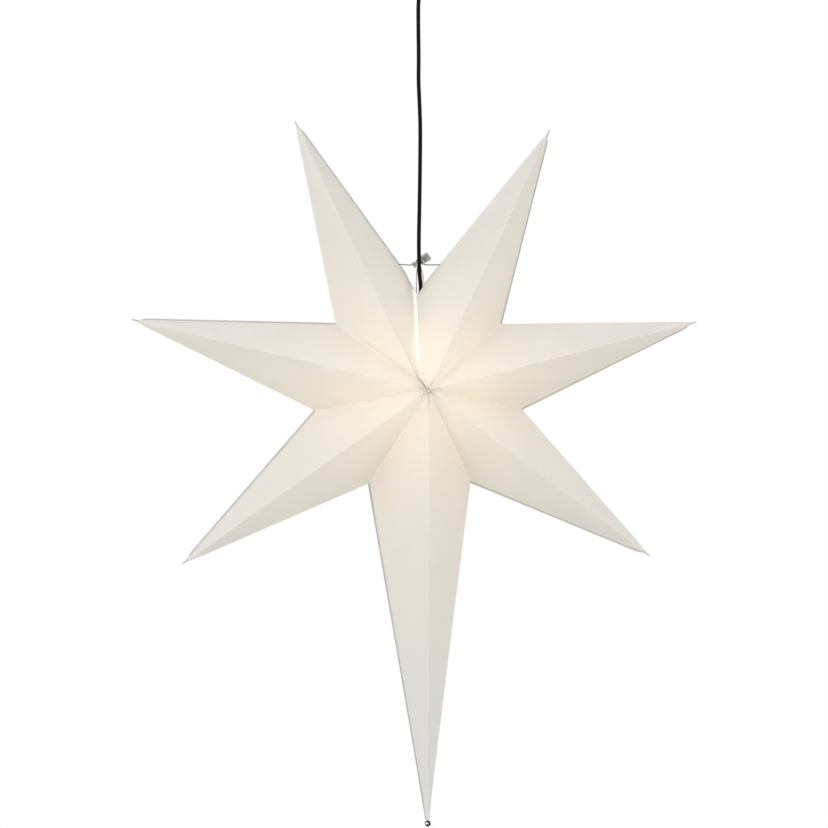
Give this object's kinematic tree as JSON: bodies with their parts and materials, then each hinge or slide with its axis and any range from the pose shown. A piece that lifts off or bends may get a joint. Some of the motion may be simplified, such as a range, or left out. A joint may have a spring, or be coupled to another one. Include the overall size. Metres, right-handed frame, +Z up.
{
  "type": "paper star pendant",
  "caption": "Folded paper star lamp with long lower point, hung by a black textile cord from a ceiling cup, with lampholder and bulb inside.",
  "frame": {"origin": "middle of the ceiling plate's top face, where it meets the ceiling", "axes": "+Z up, -Y out of the star's face, +X to the right as seen from the front"},
  "size_m": [0.804, 0.246, 1.2598],
  "materials": {
    "star_paper": "matt off-white paper, lets lamplight through",
    "black_textile": "braided textile",
    "grey_string": "smooth twisted string",
    "clear_plastic": "clear grey plastic",
    "spring_steel": "bright spring wire",
    "chrome_bead": "polished",
    "black_enamel": "satin black enamel",
    "zinc_steel": "zinc plated",
    "black_nylon": "moulded",
    "white_nylon": "moulded",
    "brass_parts": "plain",
    "brown_insulation": "wire insulation",
    "blue_insulation": "wire insulation",
    "black_bakelite": "moulded, satin gloss",
    "white_porcelain": "glazed",
    "frosted_glass": "frosted",
    "clear_glass": "clear",
    "black_glass": "fused black glass",
    "bulb_metal": "nickelled",
    "lit_filament": "coated filament"
  },
  "bodies": {
    "ceiling_fitting": {"ceiling_plate": "zinc_steel", "ceiling_cup": "black_enamel", "cup_screws": "black_enamel", "cord_bush": "black_nylon", "bush_screw": "black_nylon", "bush_nut": "zinc_steel", "cord_head": "black_textile", "terminal_block": "white_nylon", "terminal_screws": "brass_parts", "live_wire": "brown_insulation", "neutral_wire": "blue_insulation"},
    "upper_cord": {"cord_top": "black_textile"},
    "pendant": {"textile_cord": "black_textile", "holder_cap": "black_bakelite", "grip_screw": "black_nylon", "holder_skirt": "black_bakelite", "holder_core": "white_porcelain", "core_screws": "brass_parts", "screw_shell": "brass_parts", "centre_contact": "brass_parts", "inner_live_wire": "brown_insulation", "inner_neutral_wire": "blue_insulation"},
    "bulb": {"bulb_glass": "frosted_glass", "bulb_cap": "bulb_metal", "bulb_insulator": "black_glass", "bulb_tip_contact": "bulb_metal", "bulb_stem": "clear_glass", "bulb_filaments": "lit_filament"},
    "star": {"upper_left_point": "star_paper", "upper_right_point": "star_paper", "right_point": "star_paper", "lower_right_point": "star_paper", "tail_point": "star_paper", "lower_left_point": "star_paper", "left_point": "star_paper", "left_string": "grey_string", "right_string": "grey_string", "string_knots": "grey_string", "lock_housing": "clear_plastic", "lock_spring": "spring_steel", "tail_bead": "chrome_bead", "bead_pin": "chrome_bead"},
    "lock_button": {"lock_button": "clear_plastic"}
  },
  "joints": [
    {"name": "swing_sideways", "type": "hinge", "parent": "ceiling_fitting", "child": "upper_cord", "pos_m": [0, 0, -0.072], "axis": [0, 1, 0], "range_deg": [-45, 45]},
    {"name": "swing_forwards", "type": "hinge", "parent": "upper_cord", "child": "pendant", "pos_m": [0, 0, -0.086], "axis": [1, 0, 0], "range_deg": [-45, 45]},
    {"name": "star_turn", "type": "hinge", "parent": "pendant", "child": "star", "pos_m": [0, 0, -0.5334], "axis": [0, 0, 1], "continuous": true},
    {"name": "bulb_out", "type": "slide", "parent": "pendant", "child": "bulb", "axis": [0, 0, -1], "range_m": [0, 0.03]},
    {"name": "lock_press", "type": "slide", "parent": "star", "child": "lock_button", "axis": [0.8572, 0, 0.515], "range_m": [0, 0.004], "stiffness_N_per_m": 300, "springref_m": -0.003, "deforming": ["lock_spring"]}
  ]
}
